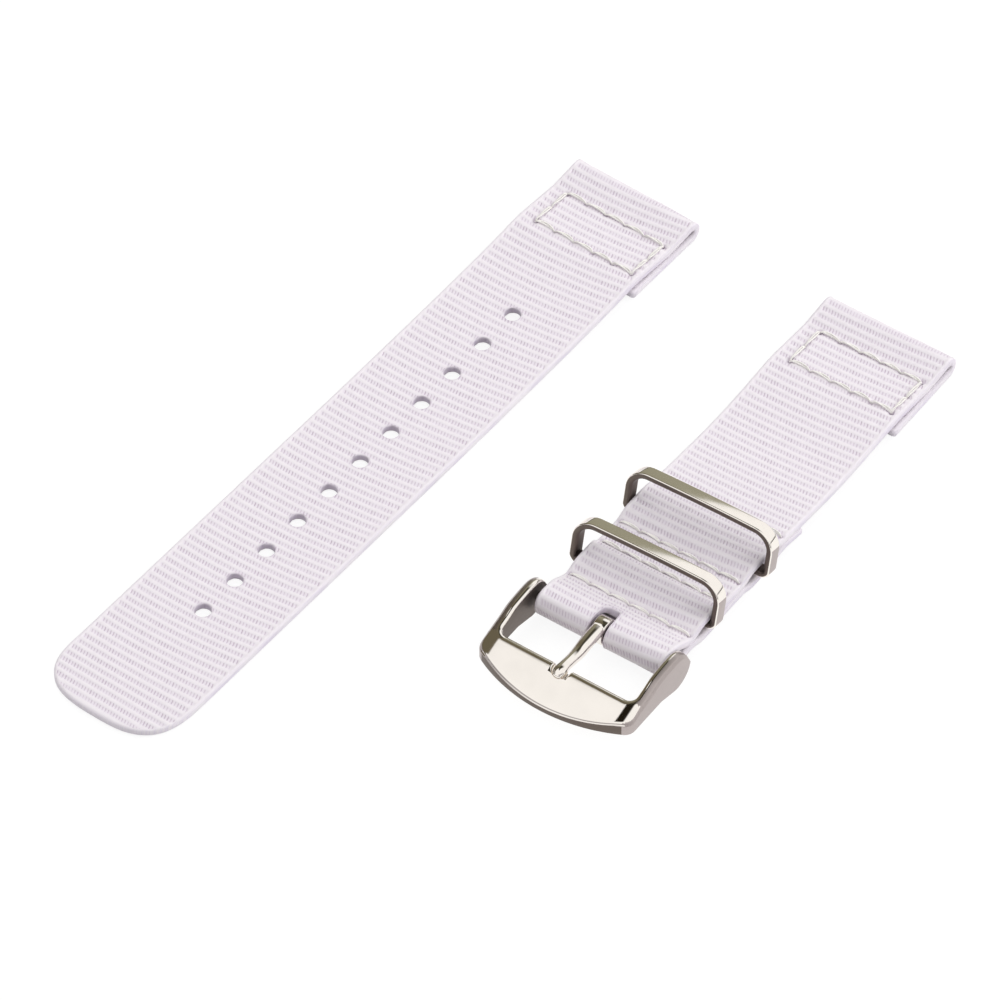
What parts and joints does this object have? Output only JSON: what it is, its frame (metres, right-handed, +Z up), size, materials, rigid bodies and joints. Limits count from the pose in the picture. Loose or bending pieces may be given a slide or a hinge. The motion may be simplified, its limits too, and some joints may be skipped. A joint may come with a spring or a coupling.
{
  "type": "nylon watch strap",
  "caption": "Two-piece watch strap in white woven nylon: a punched tail half, and a buckle half with a tang buckle and steel keeper rings held in stitched pockets.",
  "frame": {"origin": "middle of the footprint of the two halves lying side by side, on the table they lie on", "axes": "+Y along the strap towards the lug ends, +Z up off the table, +X from the tail half to the buckle half"},
  "size_m": [0.0766, 0.13, 0.0101],
  "materials": {
    "white_nylon_webbing": "matte woven",
    "ivory_thread": "satin",
    "polished_nickel_steel": "polished",
    "plain_steel": "plain",
    "spring_steel": "plain"
  },
  "bodies": {
    "buckle_strap": {"buckle_webbing": "white_nylon_webbing", "buckle_box_upper_thread": "ivory_thread", "buckle_box_bobbin_thread": "ivory_thread", "bar_row_upper_thread": "ivory_thread", "bar_row_bobbin_thread": "ivory_thread", "lower_keeper_row_upper_thread": "ivory_thread", "lower_keeper_row_bobbin_thread": "ivory_thread", "upper_keeper_row_upper_thread": "ivory_thread", "upper_keeper_row_bobbin_thread": "ivory_thread", "fold_end_row_upper_thread": "ivory_thread", "fold_end_row_bobbin_thread": "ivory_thread"},
    "tail_strap": {"tail_webbing": "white_nylon_webbing", "tail_box_upper_thread": "ivory_thread", "tail_box_bobbin_thread": "ivory_thread"},
    "frame": {"buckle_frame": "polished_nickel_steel"},
    "tang": {"tang": "polished_nickel_steel"},
    "bar_tube": {"spring_bar_tube": "plain_steel", "spring_bar_coil": "spring_steel"},
    "bar_pin_left": {"spring_bar_pin_left": "plain_steel"},
    "bar_pin_right": {"spring_bar_pin_right": "plain_steel"},
    "keeper_lower": {"keeper_lower": "polished_nickel_steel"},
    "keeper_upper": {"keeper_upper": "polished_nickel_steel"}
  },
  "joints": [
    {"name": "tail_strap_slide", "type": "slide", "parent": "buckle_strap", "child": "tail_strap", "axis": [-1, 0, 0], "range_m": [0, 0.03]},
    {"name": "frame_hinge", "type": "hinge", "parent": "buckle_strap", "child": "frame", "pos_m": [0.0249, -0.01191, 0.0033], "axis": [-1, 0.0052, 0], "range_deg": [-70, 20]},
    {"name": "tang_hinge", "type": "hinge", "parent": "frame", "child": "tang", "pos_m": [0.0249, -0.01191, 0.0033], "axis": [-1, 0.0052, 0], "range_deg": [0, 80]},
    {"name": "bar_spin", "type": "hinge", "parent": "frame", "child": "bar_tube", "pos_m": [0.0249, -0.01191, 0.0033], "axis": [1, -0.0052, 0], "continuous": true},
    {"name": "bar_pin_left_slide", "type": "slide", "parent": "bar_tube", "child": "bar_pin_left", "axis": [1, -0.0052, 0], "range_m": [0, 0.001], "stiffness_N_per_m": 800, "springref_m": -0.0005, "deforming": ["spring_bar_coil"]},
    {"name": "bar_pin_right_slide", "type": "slide", "parent": "bar_tube", "child": "bar_pin_right", "axis": [-1, 0.0052, 0], "range_m": [0, 0.001], "stiffness_N_per_m": 800, "springref_m": -0.0005, "deforming": ["spring_bar_coil"]},
    {"name": "keeper_lower_swing", "type": "hinge", "parent": "buckle_strap", "child": "keeper_lower", "pos_m": [0.0249, -0.00141, 0.0024], "axis": [0.9999, 0.0157, 0], "range_deg": [-13, 37]},
    {"name": "keeper_upper_swing", "type": "hinge", "parent": "buckle_strap", "child": "keeper_upper", "pos_m": [0.02557, 0.01138, 0.0021], "axis": [0.9999, 0.0157, 0], "range_deg": [-13, 37]}
  ]
}
